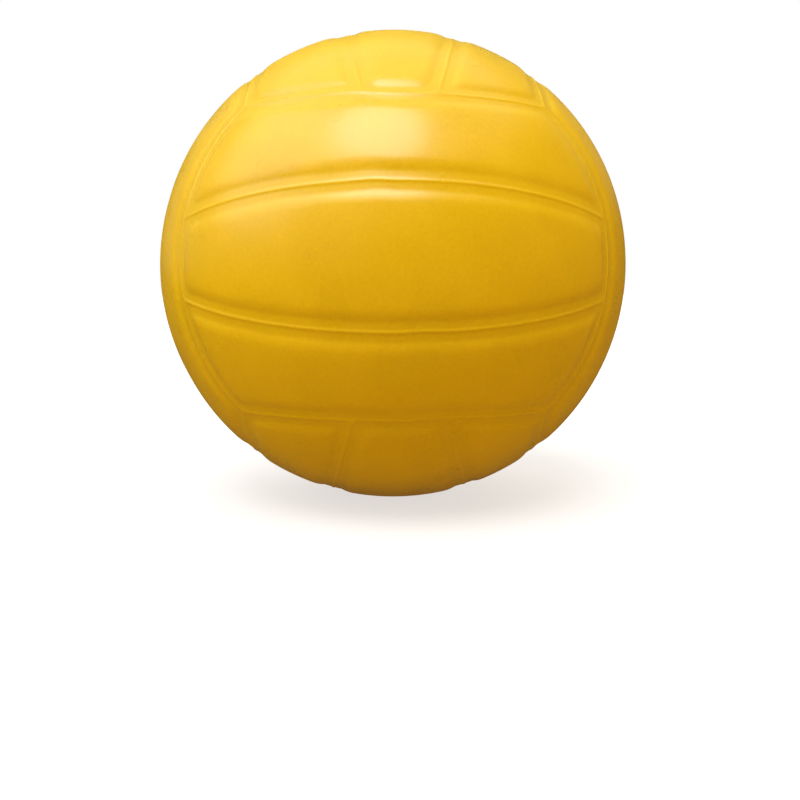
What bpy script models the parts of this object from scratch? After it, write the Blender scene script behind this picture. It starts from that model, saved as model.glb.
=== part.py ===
"""Inflatable play ball: one moulded hollow shell with eighteen panels, and a needle valve set in its back.

Units are metres and +Z is up. The origin is the ball's centre. The valve looks along +Y.
The panels lie in six faces of three strips. Strips run along X on the faces at -Y and +Y,
along Z on the faces at -X and +X, and along Y on the faces at -Z and +Z.
"""
from math import asin, copysign, cos, pi, radians, sin, sqrt, tan

import bmesh
import bpy
from mathutils import Vector
from mathutils.geometry import intersect_line_sphere, intersect_plane_plane

MM = 0.001

# Ball
BALL_RADIUS = 76.0 * MM
WALL = 1.6 * MM
STRIP_ANGLE = radians(15.0)           # from a face's centre line to the groove beside its middle strip
EDGE = 1.0 / sqrt(3.0)                # a face ends on planes this share of the radius from the centre
EDGE_ANGLE = asin(EDGE)

# Groove between two panels: sloping shoulders, a flat channel and a low rib along its middle
GROOVE_DEPTH = 0.65 * MM
SHOULDER_HALF = 5.8 * MM              # half widths, from the rib's crest
CHANNEL_HALF = 2.85 * MM
RIB_HALF = 1.0 * MM
RIB_HEIGHT = 0.35 * MM

# Valve recess in the shell, by radius about the valve axis
RECESS_RADIUS = 6.4 * MM
RECESS_FLOOR = BALL_RADIUS - 5.4 * MM
LIP_ROUND = 1.5 * MM
LIP_DROP = 0.25 * MM                  # the lip's crest lies this far under the panel
TROUGH_RADIUS = 10.4 * MM
TROUGH_DROP = 0.55 * MM
DIMPLE_RADIUS = 12.9 * MM             # where the trough runs out into the panel
BOSS_ROOT_RADIUS = 9.6 * MM
BOSS_TIP_RADIUS = 7.6 * MM
BOSS_END = BALL_RADIUS - 14.5 * MM
BORE_RADIUS = 4.5 * MM

# Valve pieces
GAP = 0.3 * MM                        # clearance between pieces that touch
FLANGE_RADIUS = RECESS_RADIUS - 0.4 * MM
FLANGE_THICK = 1.4 * MM
BARB_RADIUS = 5.5 * MM
BARB_LENGTH = 3.6 * MM
SOCKET_RADIUS = 2.9 * MM
HEAD_SOCKET_RADIUS = 4.2 * MM
HEAD_SOCKET_DEPTH = 1.3 * MM
STOP_RADIUS = 1.4 * MM
STOP_THICK = 1.2 * MM
FUNNEL_RADIUS = 1.3 * MM
FUNNEL_DEPTH = 1.9 * MM
NEEDLE_RADIUS = 0.35 * MM
NEEDLE_DEPTH = 8.0 * MM
EDGE_BREAK = 0.3 * MM

SLEEVE_RADIUS = BORE_RADIUS - GAP
FLANGE_BOTTOM = RECESS_FLOOR + GAP
FLANGE_TOP = FLANGE_BOTTOM + FLANGE_THICK
BARB_TOP = BOSS_END - GAP
HOUSING_END = BARB_TOP - BARB_LENGTH

# Facets
MIDDLE_PANEL_LINES = 1                # grid lines inside half of a middle strip, and inside a side strip
SIDE_PANEL_LINES = 2
TURN_STEPS = 32
CAVITY_TURN_STEPS = 24
CAVITY_ARC_STEPS = 16
LIP_ARC_STEPS = 4
MERGE = 0.00001


def clear_scene():
    for obj in list(bpy.data.objects):
        bpy.data.objects.remove(obj, do_unlink=True)


def new_collection(name):
    collection = bpy.data.collections.new(name)
    bpy.context.scene.collection.children.link(collection)
    return collection


def plain_material(name, colour, roughness):
    material = bpy.data.materials.new(name)
    material.use_nodes = True
    shader = material.node_tree.nodes["Principled BSDF"]
    shader.inputs["Base Color"].default_value = (*colour, 1.0)
    shader.inputs["Roughness"].default_value = roughness
    shader.inputs["Metallic"].default_value = 0.0
    return material


def add_object(name, mesh, collection, material=None):
    obj = bpy.data.objects.new(name, mesh)
    collection.objects.link(obj)
    if material:
        mesh.materials.append(material)
    return obj


def make_cutter(obj):
    obj.hide_render = True
    obj.display_type = "WIRE"


# Panel relief on the ball

def relief(distance):
    """Height of the surface above the panels at a distance from the crest of the nearest groove's rib."""
    if distance >= SHOULDER_HALF:
        return 0.0
    if distance >= CHANNEL_HALF:
        return -GROOVE_DEPTH * (SHOULDER_HALF - distance) / (SHOULDER_HALF - CHANNEL_HALF)
    return -GROOVE_DEPTH + RIB_HEIGHT * max(0.0, 1.0 - distance / RIB_HALF)


def groove_distance(unit):
    """Distance along the ball from a unit point (along, normal, across) of a face to its nearest groove."""
    along, normal, across = unit
    to_strip_groove = abs(asin(across * cos(STRIP_ANGLE) - normal * sin(STRIP_ANGLE)))
    to_long_edge = abs(asin(across) - EDGE_ANGLE)
    to_short_edge = abs(asin(normal) - EDGE_ANGLE)
    return BALL_RADIUS * min(to_strip_groove, to_long_edge, to_short_edge)


def lines_between(line, other, count):
    """Grid lines spaced evenly between two others."""
    shares = [(k + 1) / (count + 1) for k in range(count)]
    return [tuple(a + (b - a) * share for a, b in zip(line, other)) for share in shares]


def strip_lines():
    """Grid lines from a face's centre line to its long edge, as the (lean, offset) of the plane that cuts each."""
    steps = [size / BALL_RADIUS for size in (SHOULDER_HALF, CHANNEL_HALF, RIB_HALF, 0.0)]
    near_side = [(STRIP_ANGLE, -sin(step)) for step in steps]
    far_side = [(STRIP_ANGLE, sin(step)) for step in reversed(steps[:-1])]
    edge_side = [(0.0, sin(EDGE_ANGLE - step)) for step in steps]
    centre = (0.0, 0.0)
    middle_panel = lines_between(centre, near_side[0], MIDDLE_PANEL_LINES)
    side_panel = lines_between(far_side[-1], edge_side[0], SIDE_PANEL_LINES)
    return [centre] + middle_panel + near_side + far_side + side_panel + edge_side


LINES = strip_lines()
HALF_LINES = len(LINES) - 1
LAST_PANEL_LINE = HALF_LINES - 3      # the shoulder line beside a face's edge


def edge_position(line):
    """How far along a face's short edge a strip line meets it, on a ball of radius 1."""
    lean, offset = line
    return offset / cos(lean) + EDGE * tan(lean)


def cross_plane(index):
    """Plane of the grid line across the strips that ends where the next face's strip line ends."""
    reach = edge_position(LINES[index])
    turn = min(1.0, sqrt(reach / edge_position(LINES[LAST_PANEL_LINE]))) * pi / 2.0
    normal = Vector((cos(turn), -sin(turn), 0.0))
    end = Vector((reach, sqrt(1.0 - EDGE ** 2 - reach ** 2), EDGE))
    return normal, normal.dot(end)


def strip_plane(index):
    lean, offset = LINES[index]
    return Vector((0.0, -sin(lean), cos(lean))), offset


def quarter_face():
    """Points (along, normal, across) of a quarter of a face, by cross line and strip line, with the relief on."""
    centre = Vector((0.0, 0.0, 0.0))
    points = {}
    for i in range(HALF_LINES + 1):
        for j in range(HALF_LINES + 1):
            normal_a, offset_a = cross_plane(i)
            normal_b, offset_b = strip_plane(j)
            start, run = intersect_plane_plane(normal_a * offset_a, normal_a, normal_b * offset_b, normal_b)
            hits = intersect_line_sphere(start, start + run, centre, 1.0, False)
            unit = max(hits, key=lambda hit: hit[0] + hit[1]).normalized()
            points[i, j] = unit * (BALL_RADIUS + relief(groove_distance(unit)))
    return points


def panelled_ball_mesh(name):
    """A cube cut into a grid, with each grid point moved to its place on the panelled ball."""
    mesh = bpy.data.meshes.new(name)
    ball = bmesh.new()
    bmesh.ops.create_cube(ball, size=2.0)
    bmesh.ops.subdivide_edges(ball, edges=ball.edges[:], cuts=2 * HALF_LINES - 1, use_grid_fill=True)
    quarter = quarter_face()
    for vert in ball.verts:
        cube_point = vert.co.copy()
        face_axis = max(range(3), key=lambda axis: abs(cube_point[axis]))
        axes = ((face_axis + 2) % 3, face_axis, (face_axis + 1) % 3)
        index = (round(abs(cube_point[axes[0]]) * HALF_LINES), round(abs(cube_point[axes[2]]) * HALF_LINES))
        for axis, size in zip(axes, quarter[index]):
            vert.co[axis] = copysign(size, cube_point[axis])
    bmesh.ops.recalc_face_normals(ball, faces=ball.faces[:])
    ball.to_mesh(mesh)
    ball.free()
    return mesh


# Turned pieces about the valve axis: profiles hold (radius, distance from the ball's centre)

def arc(centre, radius, start, end, steps):
    points = []
    for step in range(steps + 1):
        angle = start + (end - start) * step / steps
        points.append((centre[0] + radius * sin(angle), centre[1] + radius * cos(angle)))
    return points


def turned(name, profile, collection, valve_axis, material=None, ring=False, steps=TURN_STEPS):
    """A profile that runs down its outer side, turned about the valve axis. A ring's profile closes on itself."""
    mesh = bpy.data.meshes.new(name)
    count = len(profile)
    edges = [(i, (i + 1) % count) for i in range(count if ring else count - 1)]
    mesh.from_pydata([(radius, 0.0, height) for radius, height in profile], edges, [])
    obj = add_object(name, mesh, collection, material)
    obj.parent = valve_axis
    screw = obj.modifiers.new("Turn", "SCREW")
    screw.steps = steps
    screw.render_steps = steps
    screw.use_merge_vertices = True
    screw.merge_threshold = MERGE
    return obj


def panel_height(radius):
    return sqrt(BALL_RADIUS ** 2 - radius ** 2)


def recess_profile():
    """The dimple, lip, recess and bore that are cut out of the shell at the valve."""
    above = BALL_RADIUS + 2.0 * MM
    trough = (TROUGH_RADIUS, panel_height(TROUGH_RADIUS) - TROUGH_DROP)
    rise = (panel_height(DIMPLE_RADIUS) - trough[1]) / (DIMPLE_RADIUS - TROUGH_RADIUS)
    clear_radius = DIMPLE_RADIUS + 1.0 * MM
    clear_rim = (clear_radius, trough[1] + rise * (clear_radius - TROUGH_RADIUS))
    lip_radius = RECESS_RADIUS + LIP_ROUND
    lip_centre = (lip_radius, panel_height(lip_radius) - LIP_DROP - LIP_ROUND)
    lip = arc(lip_centre, LIP_ROUND, 0.0, -pi / 2.0, LIP_ARC_STEPS)
    bore_end = BOSS_END - 1.5 * MM
    return [
        (0.0, above), (clear_radius, above), clear_rim, trough, *lip,
        (RECESS_RADIUS, RECESS_FLOOR), (BORE_RADIUS, RECESS_FLOOR),
        (BORE_RADIUS, bore_end), (0.0, bore_end),
    ]


def cavity_profile():
    """The air space in the ball, dented by the thick boss that carries the valve."""
    radius = BALL_RADIUS - WALL
    root_angle = asin((BOSS_ROOT_RADIUS + 1.0 * MM) / radius)
    boss = [
        (0.0, BOSS_END), (BOSS_TIP_RADIUS - EDGE_BREAK, BOSS_END), (BOSS_TIP_RADIUS, BOSS_END + EDGE_BREAK),
        (BOSS_ROOT_RADIUS, radius * cos(root_angle) - 1.0 * MM),
    ]
    return boss + arc((0.0, 0.0), radius, root_angle, pi, CAVITY_ARC_STEPS)


def ball_shell(parts, cutters, valve_axis, material):
    shell = add_object("ball_shell", panelled_ball_mesh("ball_shell"), parts, material)
    cavity = turned("cavity_cutter", cavity_profile(), cutters, valve_axis, steps=CAVITY_TURN_STEPS)
    recess = turned("recess_cutter", recess_profile(), cutters, valve_axis)
    for cutter in (cavity, recess):
        make_cutter(cutter)
        cut = shell.modifiers.new(cutter.name, "BOOLEAN")
        cut.operation = "DIFFERENCE"
        cut.solver = "EXACT"
        cut.object = cutter
    shell.data.shade_smooth()
    shell.data.set_sharp_from_angle(angle=radians(30.0))
    return shell


def valve_housing(parts, valve_axis, material):
    """Flanged sleeve held in the boss by a barb on its inner end, with a stepped socket for the core."""
    socket_floor = FLANGE_TOP - HEAD_SOCKET_DEPTH
    profile = [
        (FLANGE_RADIUS - EDGE_BREAK, FLANGE_TOP), (FLANGE_RADIUS, FLANGE_TOP - EDGE_BREAK),
        (FLANGE_RADIUS, FLANGE_BOTTOM), (SLEEVE_RADIUS, FLANGE_BOTTOM),
        (SLEEVE_RADIUS, BARB_TOP), (BARB_RADIUS, BARB_TOP), (BARB_RADIUS, BARB_TOP - 2.0 * EDGE_BREAK),
        (SLEEVE_RADIUS - EDGE_BREAK, HOUSING_END), (STOP_RADIUS, HOUSING_END),
        (STOP_RADIUS, HOUSING_END + STOP_THICK), (SOCKET_RADIUS, HOUSING_END + STOP_THICK),
        (SOCKET_RADIUS, socket_floor), (HEAD_SOCKET_RADIUS, socket_floor), (HEAD_SOCKET_RADIUS, FLANGE_TOP),
    ]
    return turned("valve_housing", profile, parts, valve_axis, material, ring=True)


def valve_core(parts, valve_axis, material):
    """Soft self-sealing plug: a funnel leads the needle into a fine duct that ends blind inside it."""
    top = FLANGE_TOP - GAP
    head_radius = HEAD_SOCKET_RADIUS - GAP
    head_bottom = FLANGE_TOP - HEAD_SOCKET_DEPTH + GAP
    plug_radius = SOCKET_RADIUS - GAP
    plug_end = HOUSING_END + STOP_THICK + GAP
    profile = [
        (0.0, top - NEEDLE_DEPTH), (NEEDLE_RADIUS, top - NEEDLE_DEPTH),
        (NEEDLE_RADIUS, top - FUNNEL_DEPTH), (FUNNEL_RADIUS, top),
        (head_radius - EDGE_BREAK, top), (head_radius, top - EDGE_BREAK), (head_radius, head_bottom),
        (plug_radius, head_bottom), (plug_radius, plug_end + EDGE_BREAK),
        (plug_radius - EDGE_BREAK, plug_end), (0.0, plug_end),
    ]
    return turned("valve_core", profile, parts, valve_axis, material)


def main():
    clear_scene()
    parts = new_collection("inflatable_play_ball")
    cutters = new_collection("cutters")
    valve_axis = bpy.data.objects.new("valve_axis", None)
    valve_axis.rotation_euler = (-pi / 2.0, 0.0, 0.0)
    parts.objects.link(valve_axis)
    ball_shell(parts, cutters, valve_axis, plain_material("yellow_vinyl", (0.85, 0.48, 0.012), 0.38))
    valve_housing(parts, valve_axis, plain_material("valve_vinyl", (0.78, 0.42, 0.012), 0.45))
    valve_core(parts, valve_axis, plain_material("gum_rubber", (0.30, 0.14, 0.03), 0.6))


main()
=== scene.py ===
"""Looks of the inflatable play ball: moulded yellow vinyl, the needle valve in its back and a pale studio.

The skin repeats the solid's panel layout on a finer grid. Its groove shoulders are softer, its panel
corners are rounded, and a few grooves lie a little off their regular place, as on the real ball.
Units are metres and +Z is up. The origin is the ball's centre and the valve looks along +Y.
"""

from math import asin, atan2, copysign, cos, exp, hypot, pi, radians, sin, sqrt, tan

import bmesh
import bpy
from mathutils import Matrix, Vector, noise
from mathutils.geometry import intersect_line_sphere, intersect_plane_plane


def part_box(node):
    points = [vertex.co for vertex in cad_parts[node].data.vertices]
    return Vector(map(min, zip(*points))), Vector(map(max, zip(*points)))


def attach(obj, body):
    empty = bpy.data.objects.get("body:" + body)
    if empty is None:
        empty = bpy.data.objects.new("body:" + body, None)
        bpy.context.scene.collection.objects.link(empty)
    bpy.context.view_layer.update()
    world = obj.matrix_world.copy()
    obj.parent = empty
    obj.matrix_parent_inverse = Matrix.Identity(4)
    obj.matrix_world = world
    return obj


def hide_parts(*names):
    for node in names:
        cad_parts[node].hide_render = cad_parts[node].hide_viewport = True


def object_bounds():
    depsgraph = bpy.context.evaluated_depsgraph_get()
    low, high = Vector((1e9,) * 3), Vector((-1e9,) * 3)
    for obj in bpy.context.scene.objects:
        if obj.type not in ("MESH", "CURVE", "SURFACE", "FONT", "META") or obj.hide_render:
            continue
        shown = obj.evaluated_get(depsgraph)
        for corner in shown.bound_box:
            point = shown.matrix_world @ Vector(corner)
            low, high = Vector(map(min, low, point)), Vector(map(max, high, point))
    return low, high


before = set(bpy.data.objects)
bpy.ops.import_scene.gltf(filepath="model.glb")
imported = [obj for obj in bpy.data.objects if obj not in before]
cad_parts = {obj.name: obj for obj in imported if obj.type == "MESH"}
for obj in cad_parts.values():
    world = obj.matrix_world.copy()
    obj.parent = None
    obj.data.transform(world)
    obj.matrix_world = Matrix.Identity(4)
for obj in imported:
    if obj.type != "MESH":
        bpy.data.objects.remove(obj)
cad_low, cad_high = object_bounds()
shell_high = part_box("ball_shell")[1]
housing_low, housing_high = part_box("valve_housing")
core_low, core_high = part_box("valve_core")

MM = 0.001

# Ball, as in the solid
BALL_RADIUS = shell_high.x
WALL = 1.6 * MM
STRIP_ANGLE = radians(15.0)           # from a face's centre line to the groove beside its middle strip
EDGE = 1.0 / sqrt(3.0)                # a face ends on planes this share of the radius from the centre
EDGE_ANGLE = asin(EDGE)

# Groove between two panels, by distance from the crest of the rib along its middle
GROOVE_DEPTH = 0.57 * MM
SHOULDER_HALF = 6.6 * MM
CHANNEL_HALF = 2.85 * MM
RIB_HALF = 0.8 * MM
RIB_HEIGHT = 0.18 * MM
CORNER_SOFTNESS = 2.2 * MM            # two grooves blend where their distances differ by less than this

# Grooves off their regular place: the axis each is turned about, its regular angle there and its turn
OFF_GROOVES = (
    ("Y", -STRIP_ANGLE, radians(3.3)),              # left of the top face's middle strip
    ("Y", pi - STRIP_ANGLE, radians(-2.6)),         # right of the bottom face's middle strip
    ("X", pi / 2.0 - EDGE_ANGLE, radians(-0.85)),   # between the front and top faces
)
OFF_SPREAD = radians(12.0)            # how far beside such a groove its turn fades out

# Slow waves that the mould and the air leave in the skin
WAVE_HEIGHT = 0.05 * MM
WAVE_LENGTH = 24.0 * MM

# Valve recess in the shell, by radius about the valve axis
GAP = 0.3 * MM
FLANGE_THICK = 1.4 * MM
RECESS_CLEARANCE = 0.4 * MM
RECESS_RADIUS = housing_high.x + RECESS_CLEARANCE
RECESS_FLOOR = housing_high.y - FLANGE_THICK - GAP
LIP_ROUND = 1.5 * MM
LIP_DROP = 0.25 * MM                  # the lip's crest lies this far under the panel
LIP_RADIUS = RECESS_RADIUS + LIP_ROUND
TROUGH_RADIUS = 10.4 * MM
TROUGH_DROP = 0.55 * MM
DIMPLE_RADIUS = 12.9 * MM             # where the trough runs out into the panel
OPENING_RADIUS = DIMPLE_RADIUS + 1.0 * MM     # where the panel's grid ends and the turned form joins it
BOSS_ROOT_RADIUS = 9.6 * MM
BOSS_ROOT_FLARE = 1.0 * MM
BOSS_TIP_RADIUS = 7.6 * MM
BOSS_END = BALL_RADIUS - 14.5 * MM
BORE_RADIUS = 4.5 * MM

# Valve pieces
FLANGE_RADIUS = housing_high.x
FLANGE_TOP = housing_high.y
FLANGE_BOTTOM = RECESS_FLOOR + GAP
SLEEVE_RADIUS = BORE_RADIUS - GAP
BARB_RADIUS = 5.5 * MM
BARB_RIM = 0.6 * MM
BARB_TOP = BOSS_END - GAP
HOUSING_END = housing_low.y
STOP_RADIUS = 1.4 * MM
STOP_THICK = 1.2 * MM
HEAD_RADIUS = core_high.x
HEAD_BOTTOM = FLANGE_TOP - 1.0 * MM
CORE_TOP = core_high.y
CORE_END = core_low.y
PLUG_RADIUS = 2.6 * MM
FUNNEL_RADIUS = 1.3 * MM
FUNNEL_DEPTH = 1.9 * MM
NEEDLE_RADIUS = 0.35 * MM
NEEDLE_DEPTH = 8.0 * MM
EDGE_ROUND = 0.25 * MM

# Mesh fineness
SHOULDER_STEPS = 6
CHANNEL_STEPS = 3
RIB_STEPS = 4
MIDDLE_PANEL_STEPS = 7
SIDE_PANEL_STEPS = 11
TURN_STEPS = 96
DIMPLE_STEPS = 8
LIP_STEPS = 8
CAVITY_STEPS = 24
ROUND_STEPS = 3
SHARP_ANGLE = radians(35.0)           # edges sharper than this keep a crease in the shading
ROUNDED_ANGLE = radians(40.0)         # edges of the valve pieces sharper than this are rounded
MERGE = 0.01 * MM                     # points closer than this become one

# Moulded materials
LIGHT_SHARE = 0.7                     # part of the light that soaks in and comes out again nearby
LIGHT_REACH = (1.0, 0.85, 0.2)        # how far red, green and blue get, as shares of the depth
MOTTLE_DETAIL = 4.0
GRAIN_DETAIL = 3.0
SPECKLE_SHARE = 0.5                   # part of the colour change that follows the grain, not the mottle
NOISE_LOW = 0.3                       # noise values between which colour and gloss change
NOISE_HIGH = 0.7
GLOSS_SPREAD = 0.04

# Camera, worked out from the ball's outline in the photograph
IMAGE_SIZE = 800
BALL_CENTRE_PX = (393.0, 263.0)
BALL_RADIUS_PX = 233.45
CAMERA_DISTANCE = 4.0 * BALL_RADIUS
CAMERA_AZIMUTH = radians(-0.57)
CAMERA_ELEVATION = radians(-1.36)

# Studio
FLOOR_RADIUS = 6.0
FLOOR_SIDES = 64
FLOOR_ROUGHNESS = 0.9
WIDE = radians(90.0)                  # how wide a wall or a soft fill looks from the ball
WHITE = (1.0, 1.0, 1.0)
BLACK = (0.0, 0.0, 0.0)
WARM = (1.0, 0.70, 0.32)
MIRRORED = (0.04, 0.04, 0.04)         # what reflections show of the white background


# Panel relief on the ball

def relief(distance):
    """Height of the skin above the panels at a distance from the crest of the nearest rib."""
    if distance >= SHOULDER_HALF:
        return 0.0
    if distance >= CHANNEL_HALF:
        share = (SHOULDER_HALF - distance) / (SHOULDER_HALF - CHANNEL_HALF)
        return -GROOVE_DEPTH * share ** 2
    rib = max(0.0, 1.0 - (distance / RIB_HALF) ** 2)
    return -GROOVE_DEPTH + RIB_HEIGHT * rib ** 2


def soft_least(first, second):
    """The smaller of two distances, rounded off where they are nearly equal."""
    overlap = max(0.0, CORNER_SOFTNESS - abs(first - second))
    return max(0.0, min(first, second) - overlap ** 2 / (4.0 * CORNER_SOFTNESS))


def groove_distance(unit):
    """Distance along the ball from a unit point (along, normal, across) of a face to its nearest groove."""
    _, normal, across = unit
    to_strip_groove = abs(asin(across * cos(STRIP_ANGLE) - normal * sin(STRIP_ANGLE)))
    to_long_edge = abs(asin(across) - EDGE_ANGLE)
    to_short_edge = abs(asin(normal) - EDGE_ANGLE)
    return soft_least(BALL_RADIUS * min(to_strip_groove, to_long_edge), BALL_RADIUS * to_short_edge)


def spread(start, end, count):
    """Values from start towards end in equal steps, without the end."""
    return [start + (end - start) * step / count for step in range(count)]


def lines_between(line, other, count):
    """Grid lines from one towards another in equal steps, without the two."""
    return list(zip(*(spread(a, b, count)[1:] for a, b in zip(line, other))))


def strip_lines():
    """Grid lines from a face's centre line to its long edge.

    Each line is the (lean, offset) of the plane that cuts it.
    """
    sizes = spread(SHOULDER_HALF, CHANNEL_HALF, SHOULDER_STEPS)
    sizes += spread(CHANNEL_HALF, RIB_HALF, CHANNEL_STEPS)
    sizes += spread(RIB_HALF, 0.0, RIB_STEPS) + [0.0]
    angles = [size / BALL_RADIUS for size in sizes]
    near_side = [(STRIP_ANGLE, -sin(angle)) for angle in angles]
    far_side = [(STRIP_ANGLE, sin(angle)) for angle in reversed(angles[:-1])]
    edge_side = [(0.0, sin(EDGE_ANGLE - angle)) for angle in angles]
    centre = (0.0, 0.0)
    middle_panel = lines_between(centre, near_side[0], MIDDLE_PANEL_STEPS)
    side_panel = lines_between(far_side[-1], edge_side[0], SIDE_PANEL_STEPS)
    return [centre] + middle_panel + near_side + far_side + side_panel + edge_side


LINES = strip_lines()
HALF_LINES = len(LINES) - 1
LAST_PANEL_LINE = HALF_LINES - SHOULDER_STEPS - CHANNEL_STEPS - RIB_STEPS


def edge_position(line):
    """How far along a face's short edge a strip line meets it, on a ball of radius 1."""
    lean, offset = line
    return offset / cos(lean) + EDGE * tan(lean)


def cross_plane(index):
    """Plane of the grid line across the strips that ends where the next face's strip line ends.

    It stands straight across at the face's centre and runs along the short edge in that edge's groove.
    """
    reach = edge_position(LINES[index])
    turn = min(1.0, sqrt(reach / edge_position(LINES[LAST_PANEL_LINE]))) * pi / 2.0
    normal = Vector((cos(turn), -sin(turn), 0.0))
    end = Vector((reach, sqrt(1.0 - EDGE ** 2 - reach ** 2), EDGE))
    return normal, normal.dot(end)


def strip_plane(index):
    """Plane of a grid line along the strips."""
    lean, offset = LINES[index]
    return Vector((0.0, -sin(lean), cos(lean))), offset


def quarter_face():
    """Points (along, normal, across) of a quarter of a face, with the relief on.

    They are found by the numbers of their cross line and strip line.
    """
    centre = Vector((0.0, 0.0, 0.0))
    cross_planes = [cross_plane(index) for index in range(HALF_LINES + 1)]
    strip_planes = [strip_plane(index) for index in range(HALF_LINES + 1)]
    points = {}
    for i, (normal_a, offset_a) in enumerate(cross_planes):
        for j, (normal_b, offset_b) in enumerate(strip_planes):
            place_a = normal_a * offset_a
            place_b = normal_b * offset_b
            start, run = intersect_plane_plane(place_a, normal_a, place_b, normal_b)
            hits = intersect_line_sphere(start, start + run, centre, 1.0, False)
            unit = max(hits, key=lambda hit: hit[0] + hit[1]).normalized()
            points[i, j] = unit * (BALL_RADIUS + relief(groove_distance(unit)))
    return points


def turn_off_grooves(point):
    """Moves a point along the ball as far as the mould is off its regular layout there."""
    for axis, place, turn in OFF_GROOVES:
        from_top = point.x if axis == "Y" else -point.y
        angle = atan2(from_top, point.z)
        away = (angle - place + pi) % (2.0 * pi) - pi
        point.rotate(Matrix.Rotation(turn * exp(-(away / OFF_SPREAD) ** 2), 3, axis))


def add_panelled_ball(skin):
    """A cube cut into a grid, with each grid point moved to its place on the panelled ball."""
    bmesh.ops.create_cube(skin, size=2.0)
    bmesh.ops.subdivide_edges(skin, edges=skin.edges[:], cuts=2 * HALF_LINES - 1, use_grid_fill=True)
    quarter = quarter_face()
    for vert in skin.verts:
        cube_point = vert.co.copy()
        face_axis = max(range(3), key=lambda axis: abs(cube_point[axis]))
        axes = ((face_axis + 2) % 3, face_axis, (face_axis + 1) % 3)
        cross_line = round(abs(cube_point[axes[0]]) * HALF_LINES)
        strip_line = round(abs(cube_point[axes[2]]) * HALF_LINES)
        for axis, size in zip(axes, quarter[cross_line, strip_line]):
            vert.co[axis] = copysign(size, cube_point[axis])
        turn_off_grooves(vert.co)
        vert.co += vert.co.normalized() * WAVE_HEIGHT * noise.noise(vert.co / WAVE_LENGTH)


# Turned forms about the valve axis: profiles hold (radius, distance from the ball's centre)

def arc(centre, radius, start, end, steps):
    """Points of an arc, by angles from the valve axis."""
    points = []
    for step in range(steps + 1):
        angle = start + (end - start) * step / steps
        points.append((centre[0] + radius * sin(angle), centre[1] + radius * cos(angle)))
    return points


def add_turned(mesh, profile, ring=False):
    """Turns a profile about the valve axis. A ring's profile closes on itself."""
    start = [mesh.verts.new((radius, height, 0.0)) for radius, height in profile]
    pairs = list(zip(start, start[1:]))
    if ring:
        pairs.append((start[-1], start[0]))
    edges = [mesh.edges.new(pair) for pair in pairs]
    bmesh.ops.spin(
        mesh, geom=start + edges, cent=(0.0, 0.0, 0.0), axis=(0.0, 1.0, 0.0),
        angle=2.0 * pi, steps=TURN_STEPS, use_merge=True,
    )


def panel_height(radius):
    """Height of the smooth ball at a radius from the valve axis."""
    return sqrt(BALL_RADIUS ** 2 - radius ** 2)


def smooth_step(share):
    """A share from 0 to 1 that starts and ends level."""
    return share * share * (3.0 - 2.0 * share)


def dimple_points():
    """The shallow dimple round the valve, from the panel down to the trough and up to the lip's crest."""
    points = []
    for radius in spread(DIMPLE_RADIUS, TROUGH_RADIUS, DIMPLE_STEPS):
        share = (DIMPLE_RADIUS - radius) / (DIMPLE_RADIUS - TROUGH_RADIUS)
        points.append((radius, panel_height(radius) - TROUGH_DROP * smooth_step(share)))
    for radius in spread(TROUGH_RADIUS, LIP_RADIUS, DIMPLE_STEPS):
        share = (TROUGH_RADIUS - radius) / (TROUGH_RADIUS - LIP_RADIUS)
        drop = TROUGH_DROP - (TROUGH_DROP - LIP_DROP) * smooth_step(share)
        points.append((radius, panel_height(radius) - drop))
    return points


def valve_side_profile():
    """The skin from the dimple's rim through the recess, down the bore and round the air space."""
    lip_centre = (LIP_RADIUS, panel_height(LIP_RADIUS) - LIP_DROP - LIP_ROUND)
    lip = arc(lip_centre, LIP_ROUND, 0.0, -pi / 2.0, LIP_STEPS)
    recess = [(RECESS_RADIUS, RECESS_FLOOR), (BORE_RADIUS, RECESS_FLOOR), (BORE_RADIUS, BOSS_END)]
    air_radius = BALL_RADIUS - WALL
    root_angle = asin((BOSS_ROOT_RADIUS + BOSS_ROOT_FLARE) / air_radius)
    boss = [
        (BOSS_TIP_RADIUS - EDGE_ROUND, BOSS_END), (BOSS_TIP_RADIUS, BOSS_END + EDGE_ROUND),
        (BOSS_ROOT_RADIUS, air_radius * cos(root_angle) - BOSS_ROOT_FLARE),
    ]
    air_space = arc((0.0, 0.0), air_radius, root_angle, pi, CAVITY_STEPS)
    return dimple_points() + lip + recess + boss + air_space


# Pieces

def add_piece(name, mesh_data, node, material):
    """Makes a mesh a piece of the object that stands for a solid of the frame."""
    mesh = bpy.data.meshes.new(name)
    mesh_data.to_mesh(mesh)
    mesh_data.free()
    mesh.materials.append(material)
    mesh.shade_smooth()
    mesh.set_sharp_from_angle(angle=SHARP_ANGLE)
    piece = bpy.data.objects.new(name, mesh)
    bpy.context.scene.collection.objects.link(piece)
    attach(piece, "root")
    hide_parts(node)
    return piece


def open_round_valve(skin):
    """Takes out the panel round the valve and pulls the edge of the opening onto a circle."""
    opened = [
        face for face in skin.faces
        if any(vert.co.y > 0.0 and hypot(vert.co.x, vert.co.z) < OPENING_RADIUS for vert in face.verts)
    ]
    bmesh.ops.delete(skin, geom=opened, context="FACES")
    rim = {vert for edge in skin.edges if edge.is_boundary for vert in edge.verts}
    for vert in rim:
        height = vert.co.length
        share = OPENING_RADIUS / hypot(vert.co.x, vert.co.z)
        vert.co.x *= share
        vert.co.z *= share
        vert.co.y = sqrt(height ** 2 - OPENING_RADIUS ** 2)


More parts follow.
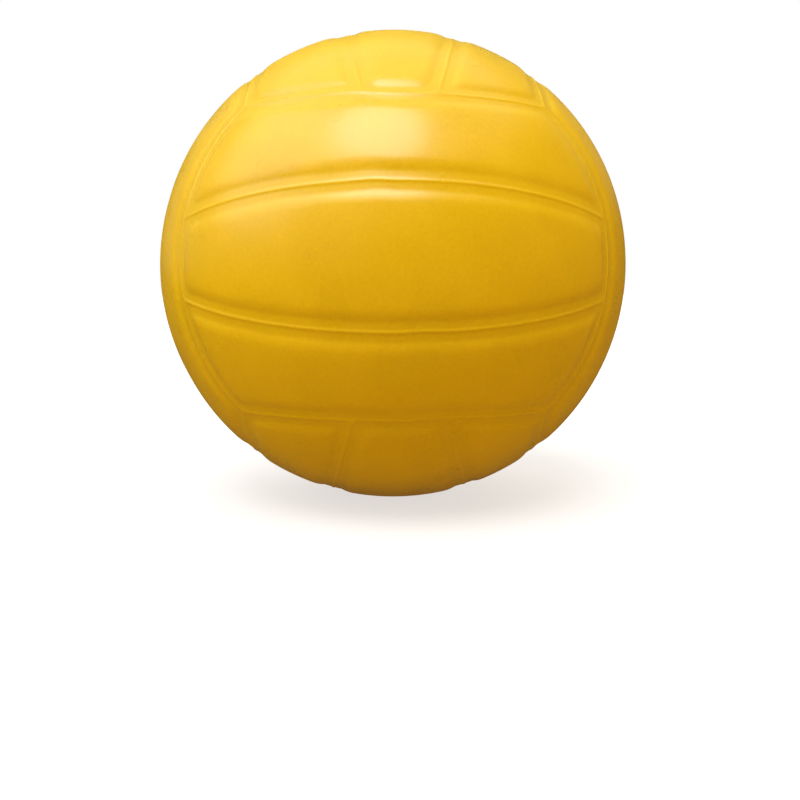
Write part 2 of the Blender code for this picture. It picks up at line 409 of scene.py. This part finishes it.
def add_skin(material):
    """The hollow ball: the panelled outside, opened round the valve and joined to the turned valve side."""
    skin = bmesh.new()
    add_panelled_ball(skin)
    open_round_valve(skin)
    add_turned(skin, valve_side_profile())
    bmesh.ops.remove_doubles(skin, verts=skin.verts[:], dist=MERGE)
    rims = [edge for edge in skin.edges if edge.is_boundary]
    bmesh.ops.bridge_loops(skin, edges=rims)
    bmesh.ops.recalc_face_normals(skin, faces=skin.faces[:])
    add_piece("vinyl_ball", skin, "ball_shell", material)


def add_valve_piece(name, profile, ring, node, material):
    """A turned valve piece with its edges rounded off."""
    turned = bmesh.new()
    add_turned(turned, profile, ring)
    bmesh.ops.remove_doubles(turned, verts=turned.verts[:], dist=MERGE)
    bmesh.ops.recalc_face_normals(turned, faces=turned.faces[:])
    piece = add_piece(name, turned, node, material)
    bevel = piece.modifiers.new("Rounded edges", "BEVEL")
    bevel.width = EDGE_ROUND
    bevel.segments = ROUND_STEPS
    bevel.limit_method = "ANGLE"
    bevel.angle_limit = ROUNDED_ANGLE


def housing_profile():
    """Flanged sleeve with a barb on its inner end and a stepped socket for the core."""
    socket_radius = PLUG_RADIUS + GAP
    socket_floor = HEAD_BOTTOM - GAP
    head_socket_radius = HEAD_RADIUS + GAP
    stop_top = HOUSING_END + STOP_THICK
    return [
        (FLANGE_RADIUS, FLANGE_TOP), (FLANGE_RADIUS, FLANGE_BOTTOM), (SLEEVE_RADIUS, FLANGE_BOTTOM),
        (SLEEVE_RADIUS, BARB_TOP), (BARB_RADIUS, BARB_TOP), (BARB_RADIUS, BARB_TOP - BARB_RIM),
        (SLEEVE_RADIUS - GAP, HOUSING_END), (STOP_RADIUS, HOUSING_END),
        (STOP_RADIUS, stop_top), (socket_radius, stop_top), (socket_radius, socket_floor),
        (head_socket_radius, socket_floor), (head_socket_radius, FLANGE_TOP),
    ]


def core_profile():
    """Soft plug whose funnel leads the needle into a fine duct that ends blind."""
    return [
        (0.0, CORE_TOP - NEEDLE_DEPTH), (NEEDLE_RADIUS, CORE_TOP - NEEDLE_DEPTH),
        (NEEDLE_RADIUS, CORE_TOP - FUNNEL_DEPTH), (FUNNEL_RADIUS, CORE_TOP),
        (HEAD_RADIUS, CORE_TOP), (HEAD_RADIUS, HEAD_BOTTOM), (PLUG_RADIUS, HEAD_BOTTOM),
        (PLUG_RADIUS, CORE_END), (0.0, CORE_END),
    ]


# Materials

def add_noise(tree, place, scale, detail):
    """A noise pattern fixed to the piece, as its output socket."""
    pattern = tree.nodes.new("ShaderNodeTexNoise")
    pattern.inputs["Scale"].default_value = scale
    pattern.inputs["Detail"].default_value = detail
    tree.links.new(place.outputs["Object"], pattern.inputs["Vector"])
    return pattern.outputs["Fac"]


def moulded_material(
    name, dark, light, roughness, specular, light_depth, mottle_scale, grain_scale, grain_height,
):
    """Moulded vinyl or rubber: light soaks in, colour and gloss are uneven, and the surface has a grain."""
    material = bpy.data.materials.new(name)
    material.use_nodes = True
    tree = material.node_tree
    shader = tree.nodes["Principled BSDF"]
    shader.inputs["Specular IOR Level"].default_value = specular
    shader.inputs["Subsurface Weight"].default_value = LIGHT_SHARE
    shader.inputs["Subsurface Radius"].default_value = LIGHT_REACH
    shader.inputs["Subsurface Scale"].default_value = light_depth

    place = tree.nodes.new("ShaderNodeTexCoord")
    mottle = add_noise(tree, place, mottle_scale, MOTTLE_DETAIL)
    grain = add_noise(tree, place, grain_scale, GRAIN_DETAIL)

    speckle = tree.nodes.new("ShaderNodeMix")
    speckle.inputs["Factor"].default_value = SPECKLE_SHARE
    tree.links.new(mottle, speckle.inputs["A"])
    tree.links.new(grain, speckle.inputs["B"])

    colour = tree.nodes.new("ShaderNodeValToRGB")
    dark_end, light_end = colour.color_ramp.elements
    dark_end.position = NOISE_LOW
    dark_end.color = (*dark, 1.0)
    light_end.position = NOISE_HIGH
    light_end.color = (*light, 1.0)
    tree.links.new(speckle.outputs["Result"], colour.inputs["Fac"])
    tree.links.new(colour.outputs["Color"], shader.inputs["Base Color"])

    gloss = tree.nodes.new("ShaderNodeMapRange")
    gloss.inputs["From Min"].default_value = NOISE_LOW
    gloss.inputs["From Max"].default_value = NOISE_HIGH
    gloss.inputs["To Min"].default_value = roughness - GLOSS_SPREAD
    gloss.inputs["To Max"].default_value = roughness + GLOSS_SPREAD
    tree.links.new(mottle, gloss.inputs["Value"])
    tree.links.new(gloss.outputs["Result"], shader.inputs["Roughness"])

    bump = tree.nodes.new("ShaderNodeBump")
    bump.inputs["Strength"].default_value = 1.0
    bump.inputs["Distance"].default_value = grain_height
    tree.links.new(grain, bump.inputs["Height"])
    tree.links.new(bump.outputs["Normal"], shader.inputs["Normal"])
    return material


def yellow_vinyl():
    return moulded_material(
        "yellow_vinyl", dark=(0.705, 0.462, 0.003), light=(0.805, 0.523, 0.004),
        roughness=0.30, specular=0.5, light_depth=1.5 * MM,
        mottle_scale=60.0, grain_scale=1100.0, grain_height=0.008 * MM,
    )


def valve_vinyl():
    return moulded_material(
        "valve_vinyl", dark=(0.70, 0.36, 0.006), light=(0.78, 0.42, 0.009),
        roughness=0.5, specular=0.4, light_depth=1.0 * MM,
        mottle_scale=250.0, grain_scale=2500.0, grain_height=0.004 * MM,
    )


def gum_rubber():
    return moulded_material(
        "gum_rubber", dark=(0.20, 0.085, 0.018), light=(0.28, 0.13, 0.03),
        roughness=0.6, specular=0.3, light_depth=0.4 * MM,
        mottle_scale=400.0, grain_scale=3000.0, grain_height=0.008 * MM,
    )


# Studio

def add_sun(name, direction, strength, angle, colour=WHITE, glossy=True):
    """A far lamp in a direction from the ball. One that isn't glossy makes no highlight."""
    lamp = bpy.data.lights.new(name, "SUN")
    lamp.energy = strength
    lamp.color = colour
    lamp.angle = angle
    sun = bpy.data.objects.new(name, lamp)
    sun.rotation_euler = Vector(direction).to_track_quat("Z", "Y").to_euler()
    sun.visible_glossy = glossy
    bpy.context.scene.collection.objects.link(sun)


def add_lamps():
    """A soft key above the camera, a softer lamp on the left, wide walls and fills without highlights."""
    add_sun("key", (-0.10, -0.485, 0.869), strength=2.08, angle=radians(36.0))
    add_sun("left", (-0.74, -0.24, 0.63), strength=1.15, angle=radians(54.0))
    add_sun("left_wall", (-0.82, -0.18, 0.38), strength=0.55, angle=radians(130.0))
    add_sun("top", (-0.05, -0.08, 0.99), strength=1.05, angle=WIDE)
    add_sun("front_fill", (0.0, -0.95, 0.3), strength=0.32, angle=WIDE, colour=WARM, glossy=False)
    add_sun("right_fill", (0.99, 0.09, 0.09), strength=1.2, angle=WIDE, colour=WARM, glossy=False)
    add_sun("back_fill", (0.2, 0.76, 0.61), strength=1.0, angle=radians(60.0), glossy=False)
    add_sun("back_wall", (0.12, 0.64, 0.76), strength=0.17, angle=WIDE)


def add_mix(tree, share, first, second):
    """A colour that goes from the first to the second by a share, as its output socket."""
    node = tree.nodes.new("ShaderNodeMix")
    node.data_type = "RGBA"
    for socket, colour in ((node.inputs["A"], first), (node.inputs["B"], second)):
        if isinstance(colour, bpy.types.NodeSocket):
            tree.links.new(colour, socket)
        else:
            socket.default_value = (*colour, 1.0)
    tree.links.new(share, node.inputs["Factor"])
    return node.outputs["Result"]


def add_ray_colour(tree, lit, seen, mirrored):
    """A colour by kind of ray, as its output socket: light on the ball, camera and glass, reflection."""
    path = tree.nodes.new("ShaderNodeLightPath")
    colour = add_mix(tree, path.outputs["Is Glossy Ray"], lit, mirrored)
    colour = add_mix(tree, path.outputs["Is Transmission Ray"], colour, seen)
    return add_mix(tree, path.outputs["Is Camera Ray"], colour, seen)


def add_world(ambient):
    """White for the camera, and a dim warm room as light on the ball."""
    world = bpy.data.worlds.new("studio")
    world.use_nodes = True
    bpy.context.scene.world = world
    tree = world.node_tree
    background = tree.nodes["Background"]
    tree.links.new(add_ray_colour(tree, ambient, WHITE, MIRRORED), background.inputs["Color"])


def floor_material(bounce, glow, grey, lift):
    """Pale floor: warm as light on the ball, and lifted to white for the camera except in the shadow."""
    material = bpy.data.materials.new("pale_floor")
    material.use_nodes = True
    tree = material.node_tree
    shader = tree.nodes["Principled BSDF"]
    shader.inputs["Roughness"].default_value = FLOOR_ROUGHNESS
    shader.inputs["Specular IOR Level"].default_value = 0.0
    shader.inputs["Emission Strength"].default_value = 1.0
    tree.links.new(add_ray_colour(tree, bounce, grey, BLACK), shader.inputs["Base Color"])
    tree.links.new(add_ray_colour(tree, glow, lift, MIRRORED), shader.inputs["Emission Color"])
    return material


def add_floor(material):
    """A wide floor under the ball."""
    disc = bmesh.new()
    bmesh.ops.create_circle(disc, cap_ends=True, segments=FLOOR_SIDES, radius=FLOOR_RADIUS)
    mesh = bpy.data.meshes.new("floor")
    disc.to_mesh(mesh)
    disc.free()
    mesh.materials.append(material)
    floor = bpy.data.objects.new("floor", mesh)
    floor.location.z = cad_low.z
    bpy.context.scene.collection.objects.link(floor)


def add_camera():
    """The photograph's view: near level, with the ball above the middle of the frame."""
    data = bpy.data.cameras.new("camera")
    focal_px = BALL_RADIUS_PX * sqrt((CAMERA_DISTANCE / BALL_RADIUS) ** 2 - 1.0)
    data.lens = data.sensor_width * focal_px / IMAGE_SIZE
    data.shift_x = 0.5 - BALL_CENTRE_PX[0] / IMAGE_SIZE
    data.shift_y = BALL_CENTRE_PX[1] / IMAGE_SIZE - 0.5
    level = cos(CAMERA_ELEVATION)
    across = level * sin(CAMERA_AZIMUTH)
    back = -level * cos(CAMERA_AZIMUTH)
    direction = Vector((across, back, sin(CAMERA_ELEVATION)))
    camera = bpy.data.objects.new("camera", data)
    camera.location = direction * CAMERA_DISTANCE
    camera.rotation_euler = direction.to_track_quat("Z", "Y").to_euler()
    bpy.context.scene.collection.objects.link(camera)
    bpy.context.scene.camera = camera


add_camera()
add_skin(yellow_vinyl())
add_valve_piece(
    "needle_valve_housing", housing_profile(), ring=True,
    node="valve_housing", material=valve_vinyl(),
)
add_valve_piece(
    "needle_valve_core", core_profile(), ring=False,
    node="valve_core", material=gum_rubber(),
)
add_lamps()
add_world(ambient=(0.12, 0.10, 0.04))
add_floor(floor_material(
    bounce=(0.28, 0.20, 0.04), glow=(0.27, 0.19, 0.03), grey=(0.35, 0.35, 0.35), lift=(0.65, 0.65, 0.65),
))
bpy.context.scene.view_settings.view_transform = "Standard"
